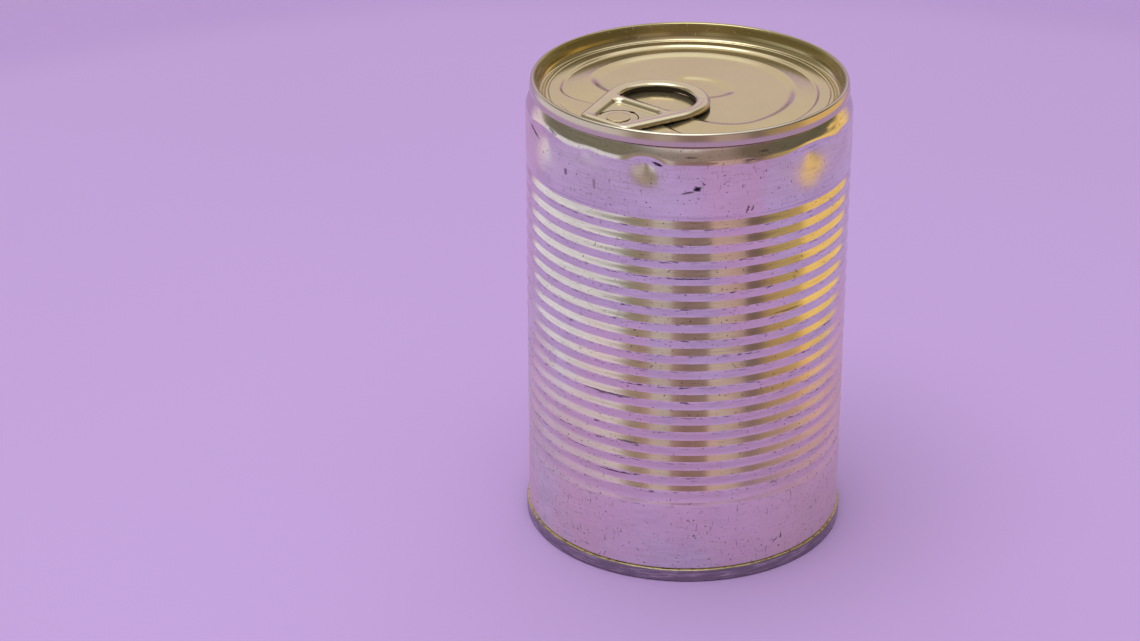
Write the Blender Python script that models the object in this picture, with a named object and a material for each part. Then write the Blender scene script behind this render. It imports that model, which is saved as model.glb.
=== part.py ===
"""Food can of tinplate with a full-opening lid and a ring pull.

Metres, +Z up. The origin is the middle of the can's foot, where it stands.
Lengths below are written in millimetres and turned into metres by MM.
"""
import math

import bmesh
import bpy

MM = 0.001
SEGMENTS = 48            # round the can
GAP = 0.3                # between pieces that touch

# Whole can
HEIGHT = 110.3
BODY_R = 37.15
FOOT_SEAM_R = 37.6
TOP_SEAM_R = 36.2
SEAM_H = 3.1
CROWN_R = 0.6            # rounding of the top seam's edge

# Neck that takes the top seam in
NECK_R = 35.45
NECK_WALL = 0.35
NECK_ROWS = 4
NECK_TOP = HEIGHT - SEAM_H - GAP
SHOULDER_Z = 103.3

# Ridges round the body
RIDGES = 18
RIDGE_PITCH = 3.836
RIDGE_DEPTH = 0.57
FIRST_RIDGE_Z = 88.43
STEPS_PER_RIDGE = 4
LAST_CREST_GROOVE = 0.15  # the last ridge is lower, and the groove under it shallower
LAST_VALLEY_SHARE = 0.66
UPPER_BAND_FOOT = 91.7
LOWER_BAND_TOP = 18.6
BAND_ROWS = 7

# Dents in the upper band: azimuth from the front, height of the deepest place, half angle,
# reach above and below that place, depth
DENTS = (
    (-63.5, 102.3, 10.5, 1.9, 7.5, 1.70),
    (-39.0, 103.4, 6.0, 1.3, 3.5, 0.26),
    (-17.2, 103.4, 6.8, 1.7, 5.2, 1.15),
    (44.8, 102.5, 10.5, 1.8, 7.4, 1.70),
    (66.0, 101.5, 5.5, 2.5, 6.0, 0.55),
)
DENT_TIP = 0.04          # rounds the deepest place of each dent
DENT_RIM = 0.5           # share of a dent's reach over which its rim runs out

# Lid: radii and heights of its rings
LID_FLAT_Z = 106.8       # score ring and the seat of the ring pull
LID_PANEL_Z = 106.2
GROOVE_Z = 106.27
LID_UNDER = 104.3
CHUTE_R = 34.8           # outer wall of the lid below the seam
STEP_IN_R = (22.2, 24.3)
STEP_OUT_R = (28.6, 29.5)
SCORE_EDGE_R = 32.2
SEAM_CURL = ((0.0, 0.5), (0.25, 0.05))   # inwards and up from the top seam's lower edge
COUNTERSINK = ((32.9, 106.5), (33.5, 106.22), (34.1, 106.42), (34.5, 106.95))
CHUCK_WALL = ((34.8, 107.9), (35.05, 109.6))

# Foot end, seen from below
FOOT_FLAT_R = (36.6, 37.2)
FOOT_SEAM_TOP = ((0.7, 0.0), (0.2, 0.15), (0.0, 0.6))   # inwards and down from its top edge
FOOT_SEAM_LOW = ((0.0, 0.8), (0.12, 0.3))               # inwards and up from the floor
FOOT_CHUCK_WALL = ((36.35, 0.35), (35.9, 1.6), (35.45, 3.3))
FOOT_COUNTERSINK = ((35.0, 3.95), (34.3, 3.95), (33.6, 3.4))
FOOT_STEP = ((28.8, 3.4), (27.8, 3.8))
FOOT_WALL = 0.3          # between the foot seam's hollow and the body wall
FOOT_TOP = 4.7

# Ring pull: it points from the can's axis to the front left
PULL_AZIMUTH = math.radians(-131.9)
RIVET_R = 24.5           # from the can's axis
PULL_UNDER = LID_FLAT_Z + GAP
PULL_THICK = 1.2
PULL_EDGE = 0.45         # rounding of its rolled edges
PULL_EDGE_MID = (0.1, 0.2)   # inset and height half way round that rounding
RING_BACK = 13.0         # ring centre, behind the rivet
RING_OUTER_R = 12.0
RING_HOLE_R = 8.7
HOLE_CHORD = 9.2         # straight side of the hole, behind the rivet
HOLE_CORNER_R = 2.0
NOSE_FORE = 3.6          # centres of the nose corners, before the rivet
NOSE_HALF = 4.9
NOSE_CORNER_R = 2.2
POCKET_BACK = 7.7        # pocket round the rivet
POCKET_FORE = 4.3
POCKET_HALF = (6.9, 4.5)
POCKET_CORNER_R = 1.3
POCKET_SLOPE = 1.1
POCKET_FLOOR = 0.22
SLIT_R = (4.2, 4.6)
SLIT_HALF_ANGLE = math.radians(112)

# Rivet
SHANK_R = 1.6
SHANK_ROOM = 0.3
SHANK_SIDES = 16
RIVET_HEAD_R = 2.65
RIVET_HEAD_H = 0.3
RIVET_EDGE = (0.35, 0.15)    # inwards and down from the head's rim
RIVET_SEGMENTS = 20

# Seat of the ring pull and the finger well under the ring, in the pull's direction
SEAT_CHORD = 20.6
WEB_SEAT_CHORD = 13.7
WEB_SEAT_DROP = 0.25
SEAT_ROOT = 105.4
SEAT_DROP = 0.02         # keeps the seat's top just under the flat it joins
WELL_R = 10.5
WELL_HALF_ANGLE = math.radians(55)
WELL_INNER_R = 6.8
WELL_INNER_FORE = -3.9
WELL_DEPTH = 0.9
WELL_SLOPE = 1.2
CUTTER_REACH = 0.9       # above the panel

SHARP_ANGLE = math.radians(35)

# Finishes: colour, roughness
TINPLATE = ("tinplate", (0.62, 0.60, 0.58, 1.0), 0.28)
LACQUER = ("gold_lacquer", (0.55, 0.44, 0.28, 1.0), 0.32)
PULL_LACQUER = ("pull_lacquer", (0.62, 0.53, 0.38, 1.0), 0.26)
FOOT_TIN = ("foot_tinplate", (0.50, 0.46, 0.42, 1.0), 0.34)


def clear_scene():
    for item in list(bpy.data.objects):
        bpy.data.objects.remove(item, do_unlink=True)


def material(finish):
    name, colour, roughness = finish
    made = bpy.data.materials.new(name)
    made.use_nodes = True
    shader = made.node_tree.nodes["Principled BSDF"]
    shader.inputs["Base Color"].default_value = colour
    shader.inputs["Metallic"].default_value = 1.0
    shader.inputs["Roughness"].default_value = roughness
    return made


def finish_object(name, bm, finish=None):
    """A scene object from a closed mesh, with faces out and round sides smooth"""
    bmesh.ops.recalc_face_normals(bm, faces=bm.faces)
    mesh = bpy.data.meshes.new(name)
    bm.to_mesh(mesh)
    bm.free()
    mesh.shade_smooth()
    mesh.set_sharp_from_angle(angle=SHARP_ANGLE)
    made = bpy.data.objects.new(name, mesh)
    bpy.context.scene.collection.objects.link(made)
    if finish:
        mesh.materials.append(material(finish))
    return made


def turned(profile, segments=SEGMENTS):
    """Spin a profile of (radius, height) pairs that starts and ends on the axis"""
    bm = bmesh.new()
    points = [bm.verts.new((r * MM, 0.0, z * MM)) for r, z in profile]
    edges = [bm.edges.new(pair) for pair in zip(points, points[1:])]
    bmesh.ops.spin(
        bm, geom=points + edges, cent=(0.0, 0.0, 0.0), axis=(0.0, 0.0, 1.0),
        angle=2.0 * math.pi, steps=segments, use_merge=True)
    bmesh.ops.remove_doubles(bm, verts=bm.verts, dist=0.00001)
    return bm


def arc(centre, radius, start, end, steps):
    """Points on an arc, both ends included"""
    turn = (end - start) / steps
    return [(centre[0] + radius * math.cos(start + turn * i),
             centre[1] + radius * math.sin(start + turn * i)) for i in range(steps + 1)]


def add_loop(bm, outline, z):
    """A closed loop of edges at one height; gives its vertices and its edges"""
    verts = [bm.verts.new((x * MM, y * MM, z * MM)) for x, y in outline]
    edges = [bm.edges.new((a, b)) for a, b in zip(verts, verts[1:] + verts[:1])]
    return verts, edges


def skin(bm, loops):
    """Quads between loops that have the same number of points"""
    for (low, _), (high, _) in zip(loops, loops[1:]):
        for i, here in enumerate(low):
            after = (i + 1) % len(low)
            bm.faces.new((here, low[after], high[after], high[i]))


def cap(bm, *loops):
    """Triangles over the flat area between an outer loop and any holes in it"""
    edges = [edge for _, loop in loops for edge in loop]
    bmesh.ops.triangle_fill(bm, use_beauty=True, edges=edges)


def prism(name, outline, low, high):
    """An upright block with one outline, which other pieces are joined to or cut by"""
    bm = bmesh.new()
    loops = [add_loop(bm, outline, z) for z in (low, high)]
    skin(bm, loops)
    cap(bm, loops[0])
    cap(bm, loops[1])
    return finish_object(name, bm)


def hide(guide):
    guide.hide_render = True
    guide.display_type = "WIRE"


def boolean(target, tool, operation):
    hide(tool)
    step = target.modifiers.new(tool.name, "BOOLEAN")
    step.operation = operation
    step.solver = "EXACT"
    step.object = tool


# Body

def ridge_radius(z):
    """Radius in the ridged part: a cosine wave cut flat at its crests and grooves"""
    flat_at = math.cos(math.pi / STEPS_PER_RIDGE)
    wave = math.cos(2.0 * math.pi * (z - FIRST_RIDGE_Z) / RIDGE_PITCH) / flat_at
    groove = 0.5 - 0.5 * max(-1.0, min(1.0, wave))
    last_ridge_z = FIRST_RIDGE_Z - (RIDGES - 1) * RIDGE_PITCH
    if z < last_ridge_z - RIDGE_PITCH / 4.0:
        groove *= LAST_VALLEY_SHARE
    elif z < last_ridge_z + RIDGE_PITCH / 4.0:
        groove = LAST_CREST_GROOVE
    return BODY_R - RIDGE_DEPTH * groove


def neck_radius(z):
    """Radius above the shoulder: it leans in by 1 - cos of its share of the neck's height"""
    up = (z - SHOULDER_Z) / (NECK_TOP - SHOULDER_Z)
    return BODY_R - (BODY_R - NECK_R) * (1.0 - math.cos(0.5 * math.pi * up))


def body_profile():
    """From the axis under the lid, out and down the wall, to the axis over the foot end"""
    neck_inner = NECK_R - NECK_WALL
    body_top = LID_UNDER - GAP
    foot_r = BODY_R - NECK_WALL
    foot_z = SEAM_H + GAP
    points = [(0.0, body_top), (neck_inner, body_top), (neck_inner, NECK_TOP)]
    for i in range(NECK_ROWS):
        z = NECK_TOP + (SHOULDER_Z - NECK_TOP) * i / NECK_ROWS
        points.append((neck_radius(z), z))
    points += [(BODY_R, SHOULDER_Z + (UPPER_BAND_FOOT - SHOULDER_Z) * i / BAND_ROWS)
               for i in range(BAND_ROWS + 1)]
    top_groove = FIRST_RIDGE_Z + RIDGE_PITCH / 2.0
    step = RIDGE_PITCH / STEPS_PER_RIDGE
    for i in range(-1, RIDGES * STEPS_PER_RIDGE + 1):
        z = top_groove - step * (i + 0.5)
        points.append((ridge_radius(z), z))
    points += [(BODY_R, LOWER_BAND_TOP), (BODY_R, foot_z), (foot_r, foot_z)]
    points += [(foot_r, FOOT_TOP + GAP), (0.0, FOOT_TOP + GAP)]
    return points


def dent_depth(azimuth, z):
    """Sum of cones with a round tip, whose rims run out smoothly into the wall"""
    depth = 0.0
    for centre, height, half_angle, up, down, deepest in DENTS:
        across = (azimuth - centre) / half_angle
        along = (z - height) / (up if z > height else down)
        share = 1.0 - math.sqrt(across * across + along * along + DENT_TIP)
        near = max(DENT_RIM - abs(share), 0.0) / DENT_RIM
        depth += deepest * (max(share, 0.0) + near * near * DENT_RIM / 4.0)
    return depth


def make_body():
    bm = turned(body_profile())
    for vert in bm.verts:
        radius = math.hypot(vert.co.x, vert.co.y)
        on_wall = radius > NECK_R * MM and UPPER_BAND_FOOT - 1.0 < vert.co.z / MM < NECK_TOP - GAP
        if on_wall:
            azimuth = math.degrees(math.atan2(vert.co.x, -vert.co.y))
            shrink = 1.0 - dent_depth(azimuth, vert.co.z / MM) * MM / radius
            vert.co.x *= shrink
            vert.co.y *= shrink
    return finish_object("can_body", bm, TINPLATE)


# Lid

def lid_profile():
    """From the axis over the panel, its rings and the seam, and back under the lid"""
    crown_mid = TOP_SEAM_R - CROWN_R
    seam_low = HEIGHT - SEAM_H
    points = [(0.0, LID_PANEL_Z), (STEP_IN_R[0], LID_PANEL_Z), (STEP_IN_R[1], LID_FLAT_Z)]
    points += [(STEP_OUT_R[0], GROOVE_Z), (STEP_OUT_R[1], LID_FLAT_Z), (SCORE_EDGE_R, LID_FLAT_Z)]
    points += COUNTERSINK
    points += CHUCK_WALL
    points += arc((crown_mid, HEIGHT - CROWN_R), CROWN_R, math.radians(135), 0.0, 3)
    points += [(TOP_SEAM_R - inwards, seam_low + up) for inwards, up in SEAM_CURL]
    points += [(crown_mid, seam_low), (CHUTE_R, seam_low), (CHUTE_R, LID_UNDER), (0.0, LID_UNDER)]
    return points


def turn_with_pull(item, distance=0.0, z=0.0):
    """Give a piece the ring pull's direction, at a distance from the can's axis"""
    item.rotation_euler.z = PULL_AZIMUTH
    item.location = (distance * math.cos(PULL_AZIMUTH) * MM,
                     distance * math.sin(PULL_AZIMUTH) * MM, z * MM)


def segment_outline(chord, radius, steps):
    """The part of a disc beyond a chord"""
    half = math.acos(chord / radius)
    return arc((0.0, 0.0), radius, -half, half, steps)


def well_outline(shrink):
    """Finger well: a wide round end past the ring and a narrower one under its far side"""
    far = arc((0.0, 0.0), WELL_R - shrink, math.pi - WELL_HALF_ANGLE, math.pi + WELL_HALF_ANGLE, 12)
    near = arc((WELL_INNER_FORE, 0.0), WELL_INNER_R - shrink, -math.pi / 2.0, math.pi / 2.0, 8)
    return far + near


def make_well_cutter():
    bm = bmesh.new()
    heights = ((WELL_SLOPE, LID_PANEL_Z - WELL_DEPTH), (0.0, LID_PANEL_Z),
               (0.0, LID_PANEL_Z + CUTTER_REACH))
    loops = [add_loop(bm, well_outline(shrink), z) for shrink, z in heights]
    skin(bm, loops)
    cap(bm, loops[0])
    cap(bm, loops[-1])
    return finish_object("well_cutter", bm)


def make_rivet():
    head_low = PULL_UNDER + POCKET_FLOOR + GAP
    head_top = head_low + RIVET_HEAD_H
    inwards, down = RIVET_EDGE
    profile = [(0.0, head_top), (RIVET_HEAD_R - inwards, head_top)]
    profile += [(RIVET_HEAD_R, head_top - down), (RIVET_HEAD_R, head_low)]
    profile += [(SHANK_R, head_low), (SHANK_R, SEAT_ROOT), (0.0, SEAT_ROOT)]
    return finish_object("rivet_core", turned(profile, RIVET_SEGMENTS))


def make_lid():
    lid = finish_object("top_end", turned(lid_profile()), LACQUER)
    seat_r = 0.5 * (STEP_OUT_R[1] + SCORE_EDGE_R)
    seat = prism("seat", segment_outline(SEAT_CHORD, seat_r, 12), SEAT_ROOT, LID_FLAT_Z - SEAT_DROP)
    web_r = 0.5 * (STEP_IN_R[1] + STEP_OUT_R[0])
    web_top = LID_FLAT_Z - WEB_SEAT_DROP
    web_seat = prism("web_seat", segment_outline(WEB_SEAT_CHORD, web_r, 16), SEAT_ROOT, web_top)
    well = make_well_cutter()
    rivet = make_rivet()
    for guide in (seat, web_seat, well):
        turn_with_pull(guide)
    turn_with_pull(rivet, RIVET_R)
    boolean(lid, web_seat, "UNION")
    boolean(lid, seat, "UNION")
    boolean(lid, rivet, "UNION")
    boolean(lid, well, "DIFFERENCE")
    return lid


# Ring pull, drawn with its rivet hole at the origin and its nose to +X

def pull_outline(inset):
    """Outline round the ring and the nose, with straight sides that touch both"""
    reach = math.hypot(RING_BACK + NOSE_FORE, NOSE_HALF)
    lean = math.atan2(NOSE_HALF, RING_BACK + NOSE_FORE)
    touch = lean + math.acos((RING_OUTER_R - NOSE_CORNER_R) / reach)
    ring = arc((-RING_BACK, 0.0), RING_OUTER_R - inset, touch, 2.0 * math.pi - touch, 26)
    lower = arc((NOSE_FORE, -NOSE_HALF), NOSE_CORNER_R - inset, -touch, 0.0, 3)
    upper = arc((NOSE_FORE, NOSE_HALF), NOSE_CORNER_R - inset, 0.0, touch, 3)
    return ring + lower + upper


def hole_outline(inset):
    """Round hole of the ring with one nearly straight side towards the rivet"""
    corner_x = -HOLE_CHORD - HOLE_CORNER_R
    corner_path = RING_HOLE_R - HOLE_CORNER_R
    half = math.acos((corner_x + RING_BACK) / corner_path)
    corner_y = corner_path * math.sin(half)
    round_side = arc((-RING_BACK, 0.0), RING_HOLE_R + inset, half, 2.0 * math.pi - half, 20)
    lower = arc((corner_x, -corner_y), HOLE_CORNER_R + inset, -half, 0.0, 4)
    upper = arc((corner_x, corner_y), HOLE_CORNER_R + inset, 0.0, half, 4)
    return round_side + lower[1:] + upper[:-1]


def pocket_outline(inset):
    """Pocket round the rivet: a trapezium with round corners, wide towards the ring"""
    radius = POCKET_CORNER_R
    back_x = -POCKET_BACK + radius
    fore_x = POCKET_FORE - radius
    back_y = POCKET_HALF[0] - radius
    fore_y = POCKET_HALF[1] - radius
    lean = math.atan2(back_y - fore_y, fore_x - back_x)
    side = math.pi / 2.0 - lean
    corners = ((fore_x, fore_y, 0.0, side), (back_x, back_y, side, math.pi),
               (back_x, -back_y, math.pi, 2.0 * math.pi - side),
               (fore_x, -fore_y, 2.0 * math.pi - side, 2.0 * math.pi))
    points = []
    for x, y, start, end in corners:
        x_in = x - math.copysign(inset, x)
        y_in = y - math.copysign(inset, y)
        points += arc((x_in, y_in), radius, start, end, 4)
    return points


def slit_outline():
    """C-shaped slit round the rivet, open towards the nose"""
    start = math.pi - SLIT_HALF_ANGLE
    end = math.pi + SLIT_HALF_ANGLE
    return arc((0.0, 0.0), SLIT_R[1], start, end, 18) + arc((0.0, 0.0), SLIT_R[0], end, start, 18)


def make_pull():
    top = PULL_UNDER + PULL_THICK
    floor_top = PULL_UNDER + POCKET_FLOOR
    edge = PULL_EDGE
    mid_inset, mid_rise = PULL_EDGE_MID
    levels = ((edge, PULL_UNDER), (mid_inset, PULL_UNDER + mid_rise), (0.0, PULL_UNDER + edge),
              (0.0, top - edge), (mid_inset, top - mid_rise), (edge, top))
    bm = bmesh.new()
    outer = [add_loop(bm, pull_outline(inset), z) for inset, z in levels]
    hole = [add_loop(bm, hole_outline(inset), z) for inset, z in levels]
    pocket = [add_loop(bm, pocket_outline(0.0), top),
              add_loop(bm, pocket_outline(POCKET_SLOPE), floor_top)]
    last = 2.0 * math.pi * (SHANK_SIDES - 1) / SHANK_SIDES
    room = arc((0.0, 0.0), SHANK_R + SHANK_ROOM, 0.0, last, SHANK_SIDES - 1)
    shank = [add_loop(bm, room, z) for z in (PULL_UNDER, floor_top)]
    slit = [add_loop(bm, slit_outline(), z) for z in (PULL_UNDER, floor_top)]
    for loops in (outer, hole, pocket, shank, slit):
        skin(bm, loops)
    cap(bm, outer[0], hole[0], shank[0], slit[0])
    cap(bm, outer[-1], hole[-1], pocket[0])
    cap(bm, pocket[1], shank[1], slit[1])
    pull = finish_object("pull_tab", bm, PULL_LACQUER)
    turn_with_pull(pull, RIVET_R)
    return pull


# Foot end

def foot_profile():
    """From the axis over the end, round the seam, and back under it to the axis"""
    inner_r = BODY_R - NECK_WALL - FOOT_WALL
    points = [(0.0, FOOT_TOP), (inner_r, FOOT_TOP), (inner_r, SEAM_H)]
    points += [(FOOT_SEAM_R - inwards, SEAM_H - down) for inwards, down in FOOT_SEAM_TOP]
    points += [(FOOT_SEAM_R - inwards, up) for inwards, up in FOOT_SEAM_LOW]
    points += [(FOOT_FLAT_R[1], 0.0), (FOOT_FLAT_R[0], 0.0)]
    points += FOOT_CHUCK_WALL
    points += FOOT_COUNTERSINK
    points += FOOT_STEP
    points += [(0.0, FOOT_STEP[-1][1])]
    return points


def make_foot():
    return finish_object("bottom_end", turned(foot_profile()), FOOT_TIN)


def main():
    clear_scene()
    make_body()
    make_lid()
    make_pull()
    make_foot()


main()
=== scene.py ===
import math
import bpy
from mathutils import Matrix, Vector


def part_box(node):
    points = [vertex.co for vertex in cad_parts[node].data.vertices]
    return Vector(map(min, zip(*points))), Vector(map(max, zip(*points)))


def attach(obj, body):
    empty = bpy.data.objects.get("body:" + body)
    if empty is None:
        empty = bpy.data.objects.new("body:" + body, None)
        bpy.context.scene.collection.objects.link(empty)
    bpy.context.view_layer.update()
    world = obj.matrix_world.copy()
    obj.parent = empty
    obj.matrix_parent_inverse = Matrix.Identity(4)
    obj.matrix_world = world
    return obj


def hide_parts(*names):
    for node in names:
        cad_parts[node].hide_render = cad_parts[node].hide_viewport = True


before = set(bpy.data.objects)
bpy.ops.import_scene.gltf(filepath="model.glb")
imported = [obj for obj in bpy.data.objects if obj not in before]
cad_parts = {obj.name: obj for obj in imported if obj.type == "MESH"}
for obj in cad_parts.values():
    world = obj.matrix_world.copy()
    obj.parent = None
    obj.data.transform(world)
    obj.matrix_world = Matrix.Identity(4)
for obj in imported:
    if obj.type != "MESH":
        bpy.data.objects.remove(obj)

from types import SimpleNamespace

import bpy
import numpy as np
from bpy.props import FloatProperty, FloatVectorProperty, IntProperty, PointerProperty
from mathutils import Matrix, Vector

bl_info = {
    "name": "Food can",
    "version": (1, 0, 0),
    "blender": (4, 5, 0),
    "location": "3D View > Sidebar > Food can",
    "description": "Surfaces, finishes and studio of a ridged tinplate can with a ring pull",
    "category": "Object",
}

MM = 0.001
BODY_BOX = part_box("can_body")
LID_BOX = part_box("top_end")
PULL_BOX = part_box("pull_tab")
FOOT_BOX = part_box("bottom_end")
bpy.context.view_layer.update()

# Angles round the can are in degrees from the front, where -Y is the front and +X is +90.

# Dents in the upper band: azimuth, deepest height, half angle, reach up, reach down, depth
DENTS = (
    (-63.5, 102.3, 10.5, 1.9, 7.5, 1.70),
    (-39.0, 103.4, 6.0, 1.3, 3.5, 0.26),
    (-17.2, 103.4, 6.8, 1.7, 5.2, 1.15),
    (44.8, 102.5, 10.5, 1.8, 7.4, 1.70),
    (66.0, 101.5, 5.5, 2.5, 6.0, 0.55),
    (-1.6, 105.1, 2.6, 0.7, 0.7, 0.10),
    (18.5, 103.9, 2.6, 0.6, 0.9, 0.12),
    (24.1, 105.3, 2.6, 0.7, 0.7, 0.12),
    (-49.4, 105.8, 4.0, 0.9, 0.9, 0.14),
    (57.5, 105.4, 4.0, 0.9, 0.9, 0.12),
)
DENT_TIP = 0.04
DENT_RIM = 0.5

# Dark rubs and scratches: azimuth, height, half angle, half height, rise per degree, strength
RUBS = (
    (0.7, 98.1, 1.7, 0.75, 0.03, 1.0),
    (-2.4, 97.2, 2.6, 0.30, 0.12, 0.8),
    (-13.0, 103.35, 2.4, 0.45, -0.16, 1.0),
    (18.0, 92.6, 0.8, 0.7, 0.9, 0.8),
    (19.8, 92.7, 0.7, 0.6, 0.9, 0.7),
    (-1.5, 76.7, 9.0, 0.28, 0.0, 0.85),
    (-30.0, 46.3, 13.0, 0.26, 0.0, 0.8),
    (-27.0, 26.7, 8.0, 0.26, 0.0, 0.9),
    (35.0, 66.0, 8.0, 0.24, 0.0, 0.5),
    (-22.0, 35.0, 6.0, 0.30, -0.02, 0.7),
    (-72.0, 101.5, 4.5, 0.5, -0.35, 0.8),
    (-49.0, 97.0, 1.0, 1.1, 0.0, 0.7),
    (-36.0, 96.4, 0.5, 1.6, 0.0, 0.55),
    (-1.6, 105.15, 2.6, 0.28, 0.0, 0.65),
    (18.9, 104.05, 2.2, 0.28, 0.0, 0.75),
    (24.1, 105.4, 2.0, 0.32, 0.0, 0.65),
    (-57.0, 104.7, 3.2, 0.35, -0.10, 0.6),
    (5.6, 104.0, 2.4, 0.14, 0.03, 0.6),
    (33.0, 7.6, 1.4, 0.25, 0.5, 0.8),
    (35.3, 8.2, 0.5, 0.9, 0.0, 0.7),
)


def length(name, millimetres, description):
    """A length that a user can change, given in millimetres and kept in metres"""
    return FloatProperty(
        name=name, description=description, default=millimetres * MM, precision=5, unit="LENGTH")


def number(name, value, description):
    return FloatProperty(name=name, description=description, default=value, precision=4)


def angle(name, degrees, description):
    return FloatProperty(
        name=name, description=description, default=math.radians(degrees), unit="ROTATION")


def count(name, value, description):
    return IntProperty(name=name, description=description, default=value, min=1)


def colour(name, value, description):
    return FloatVectorProperty(
        name=name, description=description, default=value, size=3, subtype="COLOR",
        min=0.0, soft_max=1.0)


class BodySizes(bpy.types.PropertyGroup):
    radius: length("Radius", BODY_BOX[1][0] / MM, "Outer radius of the bands and ridge crests")
    top: length("Top", BODY_BOX[1][2] / MM, "Height of the wall's upper edge, inside the top seam")
    foot: length("Foot", BODY_BOX[0][2] / MM, "Height of the wall's lower edge, inside the foot seam")
    neck_radius: length("Neck radius", 35.45, "Radius of the neck under the top seam")
    shoulder: length("Shoulder", 103.3, "Height at which the wall starts to lean in to the neck")
    wall: length("Wall", 0.35, "Thickness of the edges that take the two ends")
    lid_seat: length("Lid seat", 104.0, "Height of the closed top under the lid")
    end_seat: length("End seat", 5.0, "Height of the closed bottom over the foot end")
    ridges: count("Ridges", 18, "Number of ridges round the body")
    pitch: length("Ridge pitch", 3.836, "Height from one ridge to the next")
    depth: length("Ridge depth", 0.57, "Depth of the grooves between the ridges")
    first_ridge: length("First ridge", 88.43, "Height of the highest crest")
    run_in: length("Run in", 1.5, "Height over which the first groove starts from the upper band")
    run_out: length("Run out", 2.3, "Height over which the last groove ends in the lower band")
    flatness: number("Flank flatness", 0.95, "0 for a sine wave, near 1 for straight flanks")
    last_height: number("Last crest", 0.85, "Height of the last ridge, as a share")
    last_share: number("Last groove", 0.66, "Depth of the groove under the last ridge, as a share")
    waviness: length("Waviness", 0.018, "Height of the uneven waves in the plain bands")


class LidSizes(bpy.types.PropertyGroup):
    top: length("Top", LID_BOX[1][2] / MM, "Height of the seam's crown")
    under: length("Underside", LID_BOX[0][2] / MM, "Lowest height of the lid")
    seam_radius: length("Seam radius", LID_BOX[1][0] / MM, "Outer radius of the top seam")
    seam_height: length("Seam height", 3.1, "Height of the seam's outer face")
    crown_radius: length("Crown rounding", 0.6, "Rounding of the seam's upper edge")
    seam_lean: length("Seam lean", 0.2, "How far the outer face curls in below its crown")
    seam_curl: length("Seam curl", 1.3, "Height over which the outer face curls in")
    flat: length("Flat", 106.8, "Height of the score ring and the seat of the pull")
    panel_drop: length("Panel drop", 0.6, "Depth of the middle panel below the flat")
    groove_drop: length("Groove drop", 0.53, "Depth of the outer step below the flat")
    inner_edge: length("Inner step", 24.3, "Radius at which the middle panel starts to drop")
    inner_slope: length("Inner slope", 2.1, "Width of the slope down to the middle panel")
    inner_cut: length("Inner cut", 13.8, "Where the middle panel ends on the pull's side")
    inner_join: length("Inner join", 8.0, "Rounding between that side and the panel's ring")
    outer_edge: length("Outer step", 29.5, "Radius of the outer step's upper edge")
    outer_slope: length("Outer slope", 0.9, "Width of the outer step")
    outer_cut: length("Outer cut", 19.8, "Where the outer step ends on the pull's side")
    outer_lean: number("Outer lean", 0.115, "How much that side bends outwards, as a slope")
    outer_join: length("Outer join", 4.0, "Rounding between that side and the step's ring")
    score_radius: length("Score radius", 31.9, "Radius of the fine score line")
    score_depth: length("Score depth", 0.12, "Depth of the fine score line")
    score_width: length("Score width", 0.11, "Half width of the fine score line")
    panel_edge: length("Panel edge", 32.3, "Radius at which the lid drops to its countersink")
    sink_radius: length("Countersink", 33.55, "Radius of the countersink's middle")
    sink_round: length("Countersink rounding", 0.62, "Radius of the countersink's hollow")
    wall_radius: length("Chuck wall", 34.78, "Radius at which the steep wall starts to lean out")
    plug: length("Plug", 34.8, "Radius of the lid's solid part inside the neck")
    well_radius: length("Well radius", 10.5, "Radius of the finger well round the can's axis")
    well_waist: length("Well waist", 6.6, "Half width of the finger well at the can's axis")
    well_lean: number("Well lean", 0.31, "How much its sides lean together, as a slope")
    well_corner: length("Well corners", 1.5, "Rounding where its sides meet its disc")
    well_fore: length("Well front", 2.6, "Where the finger well ends under the ring")
    well_join: length("Well front join", 5.0, "Rounding of that end")
    well_depth: length("Well depth", 0.5, "Depth of the finger well under the ring")
    well_slope: length("Well slope", 2.2, "Width of the finger well's sides")
    bead_depth: length("Bead depth", 0.32, "Depth of the short grooves beside the nose")
    bead_start: length("Bead start", 28.6, "Radius at which those grooves start")
    bead_ramp: length("Bead ramp", 1.3, "Width over which they deepen outwards")
    bead_end: length("Bead end", 29.95, "Radius of the steep step that ends them")
    bead_near: angle("Bead near end", 14.0, "Angle from the pull's direction at which they begin")
    bead_far: angle("Bead far end", 30.0, "Angle from the pull's direction at which they end")


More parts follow.
